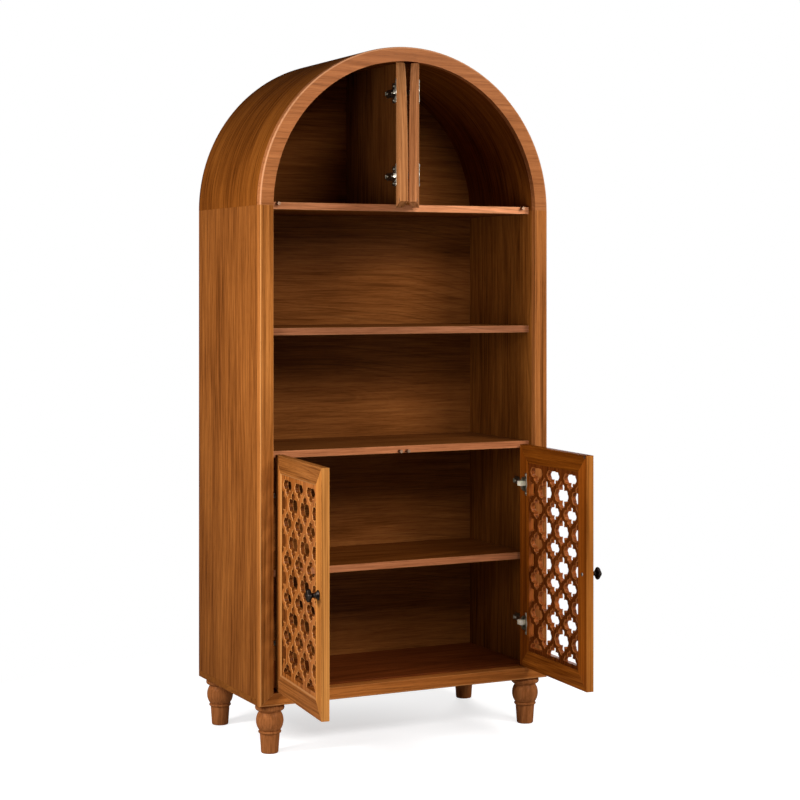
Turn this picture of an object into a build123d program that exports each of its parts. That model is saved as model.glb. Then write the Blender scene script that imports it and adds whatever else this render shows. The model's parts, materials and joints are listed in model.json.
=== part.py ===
from build123d import *
import math
import os

os.makedirs("parts", exist_ok=True)

# ---------------------------------------------------------------- overall sizes
# The front plane of the closed cabinet is y = 0, the floor is z = 0 and the
# middle of the width is x = 0.  Millimetres throughout.
cabinet_width = 800
cabinet_depth = 416
springline_height = 1325          # where the straight sides meet the half-round top
foot_height = 120
wall = 36                         # thickness of the sides and of the arched top
board = 18                        # thickness of shelves, divider and base boards

outer_radius = cabinet_width / 2
inner_radius = outer_radius - wall

# ---------------------------------------------------------------- front frame
frame_depth = board               # the face frame laid on the front of the carcass
rail_height = 30                  # bottom rail of the face frame
outer_round = 4.5                 # rounding of the outer front edge

# ---------------------------------------------------------------- carcass
base_thickness = 16
base_top = foot_height + base_thickness
floor_top = base_top + board
housing_depth = 6                 # how far shelves and back panel run into the sides
back_thickness = 9
back_recess = 55                  # from the rear edge of the sides to the back panel
back_front = cabinet_depth - back_recess - back_thickness
shelf_front = 34                  # set-back of the fixed shelves behind the front plane
top_shelf_top = springline_height + board / 2
middle_shelf_top = 1028
cabinet_shelf_top = 730
inner_shelf_top = 441
inner_shelf_front = shelf_front + 10
inner_shelf_play = 1
divider_play = 1                  # divider short of the bottom of its housing

# ---------------------------------------------------------------- feet
foot_inset_x = 43
foot_inset_y = 41
foot_spigot_radius = 12
foot_spigot_length = 14
foot_ring_radius = 36
foot_ring_round = 3
foot_neck_radius = 28
foot_bulb_radius = 33.5
foot_bead_radius = 28
foot_taper_top_radius = 24.5
foot_bottom_radius = 21
# Depths of the turning under the base board
ring_top_depth = 3
ring_middle_depth = 9
ring_bottom_depth = 16
neck_top_depth = 20
neck_bottom_depth = 22
bulb_middle_depth = 41
bead_top_depth = 66
bead_bottom_depth = 71

# ---------------------------------------------------------------- doors
door_thickness = 19
door_gap = 3                      # around every door and between two neighbours
lower_door_top = cabinet_shelf_top - 8
lower_door_width = inner_radius - door_gap - door_gap / 2
lower_door_bottom = foot_height + rail_height + door_gap
member_width = 44                 # mitred frame members of the lower doors
lip_bevel = 3
panel_thickness = 12
panel_setback = 3.5               # panel face behind the door face
panel_groove = 4.5
upper_door_bottom = springline_height + 1
upper_door_radius = inner_radius - door_gap
upper_door_top = springline_height + upper_door_radius
upper_edge_round = 1.2

# Opening angles the cabinet rests at
lower_left_angle = 96
lower_right_angle = 86.3
upper_right_angle = 117.9
upper_left_angle = 65.1

# ---------------------------------------------------------------- lattice carving
columns = 3                       # column pitches across one panel
rows = 5.4                        # row pitches up one panel
large_reach_x = 36.5              # half width and half height of the large opening
large_reach_z = 34.5
large_body_half = 15              # half height of its wide middle
large_lobe_half = 14.6            # half width of the lobes above and below
small_reach_x = 34.5
small_reach_z = 28
small_body_half = 11.5
small_lobe_half = 14.6

# ---------------------------------------------------------------- knobs and catches
knob_from_edge = member_width / 2
knob_height = 434
knob_base_radius = 12
knob_neck_radius = 5.5
knob_head_radius = 16
knob_base_thickness = 4
knob_head_thickness = 14
knob_head_round = 5
knob_length = 30
screw_start = 10                  # tip of the screw behind the knob's front
screw_radius = 2
screw_head_radius = 4.5
screw_head_thickness = 1.8
catch_radius = 4
catch_gap = 0.3
strike_thickness = 1
lower_catch_x = 10.5
lower_catch_z = cabinet_shelf_top - board + catch_radius + 1
upper_catch_inset = 20            # upper catch from the leaf's outer corner
upper_catch_x = upper_door_radius - upper_catch_inset
upper_catch_z = upper_door_bottom + catch_radius

# ---------------------------------------------------------------- concealed hinges
pin_from_edge = 17                # pin axis from the hinge edge of the door
pin_depth = 7                     # pin axis behind the door face
pin_radius = 2
pin_clearance = 0.05
eye_wall = 2
eye_radius = pin_radius + eye_wall
arm_half_height = 5.5
arm_play = 1                      # arm in its slot, above and below
slot_half_height = arm_half_height + arm_play
slot_reach = 5
slot_depth = 2.6                  # skin of wood left in front of the slot
cup_radius = 17.5
cup_from_edge = 21.5
cup_depth = 11.5
cup_sheet = 1.2
cheek_thickness = 3
cheek_play = 0.2
pin_half_length = slot_half_height + cheek_thickness + cheek_play
cup_rim = 1.5
rim_radius = cup_radius + cup_rim
flange_from_edge = 33.4
flange_width = 13
flange_half_height = 28.5
arm_width = 5
arm_reach = 27                    # how far behind the pin the arm turns to the wall
arm_elbow_x = 8.9                 # elbow that clears the open door's hinge edge
arm_elbow_drop = 8                # elbow in front of the turn
arm_back_x = 6
arm_body_width = 9
arm_body_end = 88
plate_thickness = 2.5
plate_half_height = 10
plate_start = 42
plate_overhang = 8                # plate past the end of the arm
wing_start = 4                    # wings from the front end of the plate
wing_length = 20
wing_half_height = 25
damper_half_height = 6
damper_floor_gap = 0.7            # damper over the cup's floor when the door is shut
damper_drop = 1.5                 # damper in front of the elbow
damper_share = 0.9                # how far the damper fills the cup's mouth
lower_hinge_rise = 112            # lower hinge above the door's bottom edge
lower_hinge_drop = 100            # upper hinge below its top edge
upper_hinge_rise = 80
upper_hinge_drop = 71
lower_hinge_heights = (lower_door_bottom + lower_hinge_rise, lower_door_top - lower_hinge_drop)
upper_hinge_heights = (upper_door_bottom + upper_hinge_rise, upper_door_top - upper_hinge_drop)

lower_pin_x = inner_radius - door_gap - pin_from_edge
upper_pin_x = door_gap / 2 + pin_from_edge
lower_wall_offset = -(pin_from_edge + door_gap)
upper_wall_offset = board / 2 - upper_pin_x

nodes = {}


# ================================================================ small helpers
def block(x0, x1, y0, y1, z0, z1):
    """A box given by its limits."""
    return Pos((x0 + x1) / 2, (y0 + y1) / 2, (z0 + z1) / 2) * Box(x1 - x0, y1 - y0, z1 - z0)


def upright(sketch, y0, y1):
    """Stand a flat outline up in the front plane and thicken it from y0 to y1."""
    return Pos(0, y1, 0) * Rot(90, 0, 0) * extrude(sketch, amount=y1 - y0, dir=(0, 0, 1))


def arched_outline(half_width, bottom):
    """Straight sides with a half-round top."""
    height = springline_height - bottom
    straight = Pos(0, bottom + height / 2) * Rectangle(2 * half_width, height)
    disc = Pos(0, springline_height) * Circle(half_width)
    upper_half = Pos(0, springline_height + half_width) * Rectangle(3 * half_width, 2 * half_width)
    return straight + (disc & upper_half)


def half_ring(inner, outer):
    """The upper half of a ring standing on the springline."""
    ring = Pos(0, springline_height) * (Circle(outer) - Circle(inner))
    return ring & (Pos(0, springline_height + outer) * Rectangle(3 * outer, 2 * outer))


def mirrored(shape):
    return mirror(shape, about=Plane.YZ)


# ================================================================ carcass
def shelf_board(top, front, half_width):
    return block(-half_width, half_width, front, back_front, top - board, top)


housed_half_width = inner_radius + housing_depth
top_shelf = shelf_board(top_shelf_top, shelf_front, housed_half_width)
middle_shelf = shelf_board(middle_shelf_top, shelf_front, housed_half_width)
cabinet_shelf = shelf_board(cabinet_shelf_top, shelf_front, housed_half_width)
inner_shelf = shelf_board(inner_shelf_top, inner_shelf_front, inner_radius - inner_shelf_play)

back_outline = arched_outline(housed_half_width, base_top)
back_panel = upright(back_outline, back_front, back_front + back_thickness)

divider_top = springline_height + inner_radius + housing_depth - divider_play
divider = block(-board / 2, board / 2, shelf_front, back_front, top_shelf_top, divider_top)

# Short pins under the loose shelf
shelf_pin_radius = 2.5
shelf_pin_length = 18
shelf_pin_inset = 35
shelf_pin_y = (inner_shelf_front + shelf_pin_inset, back_front - shelf_pin_inset)
shelf_pins = []
for side in (-1, 1):
    for pin_y in shelf_pin_y:
        pin = Rot(0, 90, 0) * Cylinder(shelf_pin_radius, shelf_pin_length)
        pin_z = inner_shelf_top - board - shelf_pin_radius
        shelf_pins.append(Pos(side * inner_radius, pin_y, pin_z) * pin)
shelf_pins = Compound(shelf_pins)

side = block(inner_radius, outer_radius, frame_depth, cabinet_depth, base_top, springline_height)
side = side - top_shelf - middle_shelf - cabinet_shelf - back_panel - shelf_pins
nodes["right_side_panel"] = side
nodes["left_side_panel"] = mirrored(side)

arch = upright(half_ring(inner_radius, outer_radius), frame_depth, cabinet_depth)
nodes["arched_top"] = arch - top_shelf - back_panel - divider

base = block(-outer_radius, outer_radius, frame_depth, cabinet_depth, foot_height, base_top)
foot_places = []
for foot_x in (-(outer_radius - foot_inset_x), outer_radius - foot_inset_x):
    for foot_y in (foot_inset_y, cabinet_depth - foot_inset_y):
        foot_places.append((foot_x, foot_y))
for foot_x, foot_y in foot_places:
    spigot = Cylinder(foot_spigot_radius, foot_spigot_length)
    base = base - Pos(foot_x, foot_y, foot_height + foot_spigot_length / 2) * spigot
nodes["base_board"] = base
nodes["floor_panel"] = block(-inner_radius, inner_radius, shelf_front, back_front, base_top, floor_top)
nodes["back_panel"] = back_panel
nodes["top_shelf"] = top_shelf
nodes["middle_shelf"] = middle_shelf
nodes["cabinet_shelf"] = cabinet_shelf
nodes["inner_shelf"] = inner_shelf
nodes["inner_shelf_pins"] = shelf_pins
nodes["centre_divider"] = divider


# ================================================================ face frame
def front_edge(piece, direction, order):
    """The first straight edge of the front face that runs in one direction."""
    front = piece.edges().filter_by_position(Axis.Y, -0.01, 0.01)
    return front.filter_by(direction).sort_by(order)[0]


rail_top = foot_height + rail_height
stile_outline = [
    (-outer_radius, foot_height),
    (-inner_radius, rail_top),
    (-inner_radius, springline_height),
    (-outer_radius, springline_height),
]
stile = upright(Polygon(*stile_outline, align=None), 0, frame_depth)
stile = fillet(front_edge(stile, Axis.Z, Axis.X), outer_round)
nodes["left_face_stile"] = stile
nodes["right_face_stile"] = mirrored(stile)

rim = upright(half_ring(inner_radius, outer_radius), 0, frame_depth)
rim_edges = rim.edges().filter_by_position(Axis.Y, -0.01, 0.01).filter_by(GeomType.CIRCLE)
nodes["arched_face_rim"] = fillet(rim_edges.sort_by(SortBy.RADIUS)[-1], outer_round)

rail_outline = [
    (-outer_radius, foot_height),
    (outer_radius, foot_height),
    (inner_radius, rail_top),
    (-inner_radius, rail_top),
]
rail = upright(Polygon(*rail_outline, align=None), 0, frame_depth)
rail = fillet(front_edge(rail, Axis.X, Axis.Z), outer_round)
# The rail is rebated: its upper part rests on the base board and meets the floor panel
rail = rail + block(-inner_radius, inner_radius, frame_depth, shelf_front, base_top, rail_top)
nodes["bottom_face_rail"] = rail


# ================================================================ turned feet
def turned_foot():
    """Ring, neck, bulb, bead and tapered toe, with a spigot on top."""
    top = foot_height
    spigot_end = top + foot_spigot_length
    toe = (foot_taper_top_radius, top - bead_bottom_depth)
    bead = (foot_bead_radius, top - (bead_top_depth + bead_bottom_depth) / 2)
    bulb_bottom = (foot_taper_top_radius + 1, top - bead_top_depth)
    bulb = (foot_bulb_radius, top - bulb_middle_depth)
    neck_bottom = (foot_neck_radius, top - neck_bottom_depth)
    neck_top = (foot_neck_radius, top - neck_top_depth)
    ring_side = foot_ring_radius - foot_ring_round
    ring_bottom = (ring_side, top - ring_bottom_depth)
    ring = (foot_ring_radius, top - ring_middle_depth)
    ring_top = (ring_side, top - ring_top_depth)
    profile = [
        Line((0, 0), (foot_bottom_radius, 0)),
        Line((foot_bottom_radius, 0), toe),
        ThreePointArc(toe, bead, bulb_bottom),
        ThreePointArc(bulb_bottom, bulb, neck_bottom),
        Line(neck_bottom, neck_top),
        Line(neck_top, ring_bottom),
        ThreePointArc(ring_bottom, ring, ring_top),
        Line(ring_top, (ring_side, top)),
        Line((ring_side, top), (foot_spigot_radius, top)),
        Line((foot_spigot_radius, top), (foot_spigot_radius, spigot_end)),
        Line((foot_spigot_radius, spigot_end), (0, spigot_end)),
        Line((0, spigot_end), (0, 0)),
    ]
    half = Plane.XZ * make_face(Curve() + profile)
    return revolve(half, axis=Axis.Z)


foot = turned_foot()
foot_names = ("foot_front_left", "foot_back_left", "foot_front_right", "foot_back_right")
for name, (foot_x, foot_y) in zip(foot_names, foot_places):
    nodes[name] = Pos(foot_x, foot_y, 0) * foot


# ================================================================ hinges
# Drawn for a door hinged on its left edge, with the pin axis at x = y = 0,
# the closed door reaching to +x and the hinge at z = 0.
edge = -pin_from_edge
face = -pin_depth
rear = door_thickness - pin_depth
cup_x = edge + cup_from_edge
cup_floor = rear - cup_depth


def y_cylinder(radius, y0, y1, x=0, z=0):
    return Pos(x, (y0 + y1) / 2, z) * Rot(90, 0, 0) * Cylinder(radius, y1 - y0)


def hinge_slot(half_height):
    return block(edge - 1, slot_reach, face + slot_depth, rear + 3, -half_height, half_height)


def hinge_recess():
    """Everything milled out of the door for one hinge."""
    cheek_room = slot_half_height + cheek_thickness + 0.5
    pocket = block(-slot_reach, slot_reach, face + slot_depth, 1, -cheek_room, cheek_room)
    return y_cylinder(cup_radius, cup_floor, rear, cup_x) + hinge_slot(slot_half_height) + pocket


def hinge_cup():
    dish = y_cylinder(cup_radius, cup_floor, rear, cup_x)
    dish = dish - y_cylinder(cup_radius - cup_sheet, cup_floor + cup_sheet, rear + 1, cup_x)
    rim = y_cylinder(rim_radius, rear, rear + cup_sheet, cup_x)
    flange_x = edge + flange_from_edge
    flange = Box(flange_width, cup_sheet, 2 * flange_half_height)
    rim = rim + Pos(flange_x, rear + cup_sheet / 2, 0) * flange
    rim = rim - y_cylinder(cup_radius - cup_sheet, rear - 1, rear + 2, cup_x)
    cup = dish + rim - hinge_slot(slot_half_height)
    cheek_half = eye_radius + 0.5
    for side in (-1, 1):
        middle = side * (slot_half_height + cheek_thickness / 2 + cheek_play)
        low = middle - cheek_thickness / 2
        high = middle + cheek_thickness / 2
        cup = cup + block(-cheek_half, cheek_half, -eye_radius, eye_radius + 1, low, high)
    return cup - Cylinder(pin_radius, 3 * pin_half_length)


def hinge_pin():
    return Cylinder(pin_radius, 2 * pin_half_length)


def hinge_arm(wall_offset):
    """Swan-necked arm from the pin to the plate on the wall."""
    turn_x = wall_offset + plate_thickness + arm_body_width / 2
    elbow = (arm_elbow_x, arm_reach - arm_elbow_drop)
    path = Polyline((0, 0), elbow, (arm_back_x, arm_reach), (turn_x, arm_reach))
    neck = extrude(trace(path, arm_width), amount=arm_half_height, both=True)
    eye = Cylinder(eye_radius, 2 * arm_half_height)
    low = wall_offset + plate_thickness
    body_start = arm_reach - arm_width / 2
    body_half = arm_half_height + 0.5
    body = block(low, low + arm_body_width, body_start, arm_body_end, -body_half, body_half)
    plate_end = arm_body_end + plate_overhang
    plate = block(wall_offset, low, plate_start, plate_end, -plate_half_height, plate_half_height)
    wing_front = plate_start + wing_start
    wing_back = wing_front + wing_length
    wings = block(wall_offset, low, wing_front, wing_back, -wing_half_height, wing_half_height)
    arm = neck + eye + body + plate + wings
    return arm - Cylinder(pin_radius + pin_clearance, 4 * arm_half_height)


def hinge_damper():
    """Moulded block on the arm's neck, which dips into the cup as the door shuts."""
    lean = arm_elbow_x / (arm_reach - arm_elbow_drop)
    neck_side = arm_width / 2 * math.sqrt(1 + lean ** 2)
    far = cup_x + damper_share * (cup_radius - cup_sheet)
    start = cup_floor + cup_sheet + damper_floor_gap
    end = arm_reach - arm_elbow_drop - damper_drop
    near_start = (lean * start + neck_side, start)
    near_end = (lean * end + neck_side, end)
    outline = Polyline(near_start, (far, start), (far, end), near_end, close=True)
    return extrude(make_face(outline), amount=damper_half_height, both=True)


def repeated(shape, heights):
    return [Pos(0, 0, height) * shape for height in heights]


# ================================================================ lower doors
# Drawn closed for a door hinged on its left edge, in the same place as the
# hinges: the pin axis stands at x = y = 0.
door_left = edge
door_right = edge + lower_door_width
door_middle = (door_left + door_right) / 2
door_half_height = (lower_door_top - lower_door_bottom) / 2
door_centre_z = (lower_door_top + lower_door_bottom) / 2
opening_width = lower_door_width - 2 * member_width
opening_height = 2 * door_half_height - 2 * member_width
panel_width = opening_width + 2 * panel_groove
panel_height = opening_height + 2 * panel_groove
panel_face = face + panel_setback
panel_rear = panel_face + panel_thickness


def door_box(width, height, y0, y1):
    """A box centred on the lower door."""
    return Pos(door_middle, (y0 + y1) / 2, door_centre_z) * Box(width, y1 - y0, height)


def pierced_opening(reach_x, reach_z, body_half, lobe_half):
    """Four-lobed eye: a wide middle with a lobe above and below it."""
    quarter = [
        (lobe_half * 0.4, reach_z),
        (lobe_half, reach_z - lobe_half / 2),
        (lobe_half, body_half + 1),
        (reach_x * 0.75, body_half),
        (reach_x, body_half / 3),
    ]
    right = quarter + [(x, -y) for x, y in reversed(quarter)]
    left = [(-x, -y) for x, y in right]
    return Polygon(*(right + left), align=None)


def lattice_holes():
    """Large and small openings on a centred rectangular net."""
    column = opening_width / columns
    row = opening_height / rows
    large = pierced_opening(large_reach_x, large_reach_z, large_body_half, large_lobe_half)
    small = pierced_opening(small_reach_x, small_reach_z, small_body_half, small_lobe_half)
    holes = []
    for level in range(-2, 3):
        for place in (-1.5, -0.5, 0.5, 1.5):
            holes.append(Pos(place * column, level * row) * large)
    for level in (-2.5, -1.5, -0.5, 0.5, 1.5, 2.5):
        for place in (-1, 0, 1):
            holes.append(Pos(place * column, level * row) * small)
    return (Sketch() + holes) & Rectangle(opening_width, opening_height)


def lattice_panel():
    slab = door_box(panel_width, panel_height, panel_face, panel_rear)
    cuts = upright(lattice_holes(), panel_face - 1, panel_rear + 1)
    return slab - Pos(door_middle, 0, door_centre_z) * cuts


def door_frame():
    """The mitred frame before it is parted at the corners."""
    whole = door_box(lower_door_width, 2 * door_half_height, face, rear)
    hole = door_box(opening_width, opening_height, face, rear)
    groove = door_box(panel_width, panel_height, panel_face, panel_rear)
    frame = whole - hole
    front_edges = frame.edges().filter_by_position(Axis.Y, face - 0.01, face + 0.01)
    frame = chamfer([e for e in front_edges if on_lip(e)], lip_bevel)
    frame = frame - groove
    for height in lower_hinge_heights:
        frame = frame - Pos(0, 0, height) * hinge_recess()
    return frame - knob_screw()


def on_lip(e):
    centre = e.center()
    inside_x = abs(centre.X - door_middle) < opening_width / 2 + 1
    inside_z = abs(centre.Z - door_centre_z) < opening_height / 2 + 1
    return inside_x and inside_z


def mitred_zone(half_along, turned):
    """Trapezoid that parts one rail or stile from the door frame."""
    half_inner = half_along - member_width
    low = -member_width
    points = [(-half_along, 0), (half_along, 0), (half_inner, low), (-half_inner, low)]
    return upright(Rot(0, 0, turned) * Polygon(*points, align=None), face, rear)


def knob():
    x = door_right - knob_from_edge
    front = face - knob_length
    base = y_cylinder(knob_base_radius, face - knob_base_thickness, face, x, knob_height)
    neck = y_cylinder(knob_neck_radius, front + knob_head_thickness / 2, face, x, knob_height)
    head = y_cylinder(knob_head_radius, front, front + knob_head_thickness, x, knob_height)
    head = fillet(head.edges().filter_by(GeomType.CIRCLE), knob_head_round)
    bore = y_cylinder(screw_radius, front + screw_start, face + 1, x, knob_height)
    return base + neck + head - bore


def knob_screw():
    x = door_right - knob_from_edge
    shank = y_cylinder(screw_radius, face - knob_length + screw_start, rear, x, knob_height)
    head_end = rear + screw_head_thickness
    return shank + y_cylinder(screw_head_radius, rear, head_end, x, knob_height)


def strike(x, z):
    return y_cylinder(catch_radius, rear, rear + strike_thickness, x, z)


whole_frame = door_frame()
door_half_width = lower_door_width / 2
shift_up = Pos(door_middle, 0, door_centre_z + door_half_height)
shift_down = Pos(door_middle, 0, door_centre_z - door_half_height)
shift_left = Pos(door_left, 0, door_centre_z)
shift_right = Pos(door_right, 0, door_centre_z)
lower_parts = {
    "top_rail": whole_frame & (shift_up * mitred_zone(door_half_width, 0)),
    "bottom_rail": whole_frame & (shift_down * mitred_zone(door_half_width, 180)),
    "hinge_stile": whole_frame & (shift_left * mitred_zone(door_half_height, 90)),
    "lock_stile": whole_frame & (shift_right * mitred_zone(door_half_height, -90)),
    "lattice_panel": lattice_panel(),
    "knob": knob(),
    "knob_screw": knob_screw(),
    "strike": strike(lower_pin_x - lower_catch_x, lower_catch_z),
    "hinge_cups": Compound(repeated(hinge_cup(), lower_hinge_heights)),
    "hinge_pins": Compound(repeated(hinge_pin(), lower_hinge_heights)),
}
lower_arms = Compound(repeated(hinge_arm(lower_wall_offset), lower_hinge_heights))
lower_dampers = Compound(repeated(hinge_damper(), lower_hinge_heights))


# ================================================================ upper doors
def upper_door():
    """Quarter-arch leaf hinged on its straight vertical edge."""
    disc = Pos(0, springline_height) * Circle(upper_door_radius)
    wide = upper_door_radius + 10
    corner = Pos(door_gap / 2 + wide / 2, upper_door_bottom + wide / 2) * Rectangle(wide, wide)
    leaf = upright(disc & corner, 0, door_thickness)
    front = leaf.edges().filter_by_position(Axis.Y, -0.01, 0.01)
    leaf = fillet(front, upper_edge_round)
    leaf = Pos(-upper_pin_x, -pin_depth, 0) * leaf
    for height in upper_hinge_heights:
        leaf = leaf - Pos(0, 0, height) * hinge_recess()
    return leaf


upper_parts = {
    "panel": upper_door(),
    "strike": strike(upper_catch_x - upper_pin_x, upper_catch_z),
    "hinge_cups": Compound(repeated(hinge_cup(), upper_hinge_heights)),
    "hinge_pins": Compound(repeated(hinge_pin(), upper_hinge_heights)),
}
upper_arms = Compound(repeated(hinge_arm(upper_wall_offset), upper_hinge_heights))

# ================================================================ hang the doors
# name: pin x, opening angle, parts, drawn for the left edge or mirrored
doors = {
    "lower_left": (-lower_pin_x, lower_left_angle, lower_parts, False),
    "lower_right": (lower_pin_x, lower_right_angle, lower_parts, True),
    "upper_left": (-upper_pin_x, upper_left_angle, upper_parts, True),
    "upper_right": (upper_pin_x, upper_right_angle, upper_parts, False),
}
for door, (pin_x, angle, parts, flip) in doors.items():
    turn = angle if flip else -angle
    for part_name, shape in parts.items():
        shape = mirrored(shape) if flip else shape
        nodes[door + "_" + part_name] = Pos(pin_x, pin_depth, 0) * Rot(0, 0, turn) * shape
    arms = lower_arms if door.startswith("lower") else upper_arms
    arms = mirrored(arms) if flip else arms
    nodes[door + "_hinge_arms"] = Pos(pin_x, pin_depth, 0) * arms
    if door.startswith("lower"):
        dampers = mirrored(lower_dampers) if flip else lower_dampers
        nodes[door + "_hinge_dampers"] = Pos(pin_x, pin_depth, 0) * dampers

# Magnetic catches on the shelf edges, just short of the strikes on the doors
catch_front = door_thickness + strike_thickness + catch_gap
catches = []
for side in (-1, 1):
    for x, z in ((lower_catch_x, lower_catch_z), (upper_catch_x, upper_catch_z)):
        catches.append(y_cylinder(catch_radius, catch_front, shelf_front, side * x, z))
nodes["magnet_catches"] = Compound(catches)

# ================================================================ place and export
# The origin goes to the middle of the whole outline, on the floor.
low_x = min(shape.bounding_box().min.X for shape in nodes.values())
high_x = max(shape.bounding_box().max.X for shape in nodes.values())
low_y = min(shape.bounding_box().min.Y for shape in nodes.values())
high_y = max(shape.bounding_box().max.Y for shape in nodes.values())
origin_x = (low_x + high_x) / 2
origin_y = (low_y + high_y) / 2
for name, shape in nodes.items():
    export_step(Pos(-origin_x, -origin_y, 0) * shape, "parts/" + name + ".step")
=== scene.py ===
import json
import math

import bpy
from mathutils import Euler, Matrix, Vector

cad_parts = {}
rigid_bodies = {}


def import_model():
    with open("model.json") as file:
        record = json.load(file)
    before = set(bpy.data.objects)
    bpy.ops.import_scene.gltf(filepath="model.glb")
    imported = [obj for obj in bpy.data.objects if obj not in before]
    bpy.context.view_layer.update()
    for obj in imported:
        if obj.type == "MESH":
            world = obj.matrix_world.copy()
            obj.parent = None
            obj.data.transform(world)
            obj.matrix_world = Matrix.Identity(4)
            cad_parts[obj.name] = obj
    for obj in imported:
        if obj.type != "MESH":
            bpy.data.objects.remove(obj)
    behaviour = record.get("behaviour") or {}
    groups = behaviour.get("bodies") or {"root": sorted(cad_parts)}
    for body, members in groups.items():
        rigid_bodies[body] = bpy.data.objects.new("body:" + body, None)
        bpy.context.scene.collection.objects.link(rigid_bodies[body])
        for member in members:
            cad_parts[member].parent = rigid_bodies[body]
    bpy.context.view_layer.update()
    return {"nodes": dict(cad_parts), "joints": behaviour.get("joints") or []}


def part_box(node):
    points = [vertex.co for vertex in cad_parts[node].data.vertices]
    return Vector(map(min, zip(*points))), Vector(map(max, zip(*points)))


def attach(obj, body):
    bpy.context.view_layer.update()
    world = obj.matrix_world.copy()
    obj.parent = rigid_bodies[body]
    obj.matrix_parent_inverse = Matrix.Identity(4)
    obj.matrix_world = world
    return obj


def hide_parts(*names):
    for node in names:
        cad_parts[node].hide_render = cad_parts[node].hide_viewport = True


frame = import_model()

bl_info = {
    "name": "Arched carved cabinet",
    "version": (1, 0, 0),
    "blender": (4, 5, 0),
    "location": "3D View > Sidebar > Cabinet",
    "description": "Finishes, carving and fittings of an arched cabinet with four doors",
    "category": "Object",
}

NODES = frame["nodes"]
JOINTS = {joint["name"]: joint for joint in frame["joints"]}
LOWER_DOORS = ("lower_left", "lower_right")
UPPER_DOORS = ("upper_left", "upper_right")
DOORS = LOWER_DOORS + UPPER_DOORS
MIRRORED_DOORS = ("lower_right", "upper_left")
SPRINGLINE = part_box("left_face_stile")[1].z
CENTRE_X = (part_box("left_side_panel")[0].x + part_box("right_side_panel")[1].x) / 2
WELD = 0.00001  # Corners nearer than this are one corner
SAME_PLACE = 0.00002  # How near a corner lies to the place where it is looked for
PIN_HALF = 0.0097  # Half the height of a hinge pin


# ------------------------------------------------------------------ sizes and colours
def stain_colour(name, description, default):
    return bpy.props.FloatVectorProperty(name=name, description=description, subtype="COLOR",
                                         size=3, min=0, max=1, default=default)


def length(name, description, default):
    return bpy.props.FloatProperty(name=name, description=description, unit="LENGTH",
                                   default=default)


def amount(name, description, default, **limits):
    return bpy.props.FloatProperty(name=name, description=description, default=default, **limits)


class CabinetStains(bpy.types.PropertyGroup):
    """Colours of the wood, metal and plastic."""

    rim: stain_colour("Rim", "Stain of the arched rim of the face frame", (0.335, 0.118, 0.038))
    side: stain_colour("Sides", "Stain of the outer sides and the bent top",
                       (0.196, 0.062, 0.0100))
    face: stain_colour("Face frame", "Stain of the face frame", (0.330, 0.102, 0.020))
    door: stain_colour("Doors", "Stain of the door frames and the plain leaves",
                       (0.345, 0.110, 0.021))
    carving: stain_colour("Carving", "Stain of the pierced panels", (0.310, 0.102, 0.022))
    inside: stain_colour("Inside", "Stain of the boards inside", (0.170, 0.054, 0.0115))
    shelf_edge: stain_colour("Shelf edges", "Stain of the edge bands on the shelves",
                             (0.400, 0.143, 0.058))
    foot: stain_colour("Feet", "Stain of the turned feet", (0.300, 0.102, 0.030))
    bronze: stain_colour("Bronze", "Patina of the knobs", (0.018, 0.014, 0.012))
    cream: stain_colour("Dampers", "Plastic of the hinge dampers", (0.950, 0.840, 0.650))


class DoorSizes(bpy.types.PropertyGroup):
    """Sizes of the doors, as the joiner set them out."""

    thickness: length("Thickness", "Thickness of every door", 0.019)
    lower_width: length("Lower width", "Width of one lower door", 0.3595)
    lower_bottom: length("Lower bottom", "Height of the lower doors' bottom edge", 0.153)
    lower_top: length("Lower top", "Height of the lower doors' top edge", 0.722)
    member: length("Frame member", "Width of the mitred frame around the carving", 0.044)
    pin_inset: length("Pin inset", "Hinge pin from the door's hinge edge", 0.017)
    pin_depth: length("Pin depth", "Hinge pin behind the door's face", 0.007)


class CarvingSizes(bpy.types.PropertyGroup):
    """Sizes of the pierced carving in one lower door."""

    thickness: length("Thickness", "Thickness of the pierced board", 0.012)
    setback: length("Setback", "Pierced board behind the door's face", 0.0035)
    tongue: length("Tongue", "Edge of the board that sits in the groove", 0.0045)
    columns: amount("Columns", "Repeats of the pattern across the board", 3.0)
    rows: amount("Rows", "Repeats of the pattern up the board", 5.37)
    drop: length("Drop", "How far the pattern hangs below the middle of the board", 0.0050)
    border: length("Border", "Plain strip along the top and bottom", 0.0095)
    chamfer: length("Chamfer", "Chamfer along every pierced edge", 0.0014)


class KnobSizes(bpy.types.PropertyGroup):
    """Sizes of the cast knobs."""

    height: length("Height", "Height of the knobs above the floor", 0.434)
    length: length("Length", "Knob from the door's face to its front", 0.030)
    head_radius: length("Head radius", "Radius of the knob's head", 0.016)
    base_radius: length("Base radius", "Radius of the knob's foot", 0.012)
    lobe: amount("Lobe", "How far the head is drawn in between its four points, as a share of "
                 "its radius", 0.24, min=0, max=0.3)


class HingeSizes(bpy.types.PropertyGroup):
    """Sizes of the concealed hinges."""

    cup_radius: length("Cup radius", "Radius of the pressed cup", 0.0175)
    cup_inset: length("Cup inset", "Middle of the cup from the hinge edge", 0.0215)
    cup_depth: length("Cup depth", "Depth of the cup", 0.0115)
    sheet: length("Sheet", "Thickness of the pressed steel", 0.0012)
    wing_half: length("Wing", "Half height of the winged mounting plate", 0.025)


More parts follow.
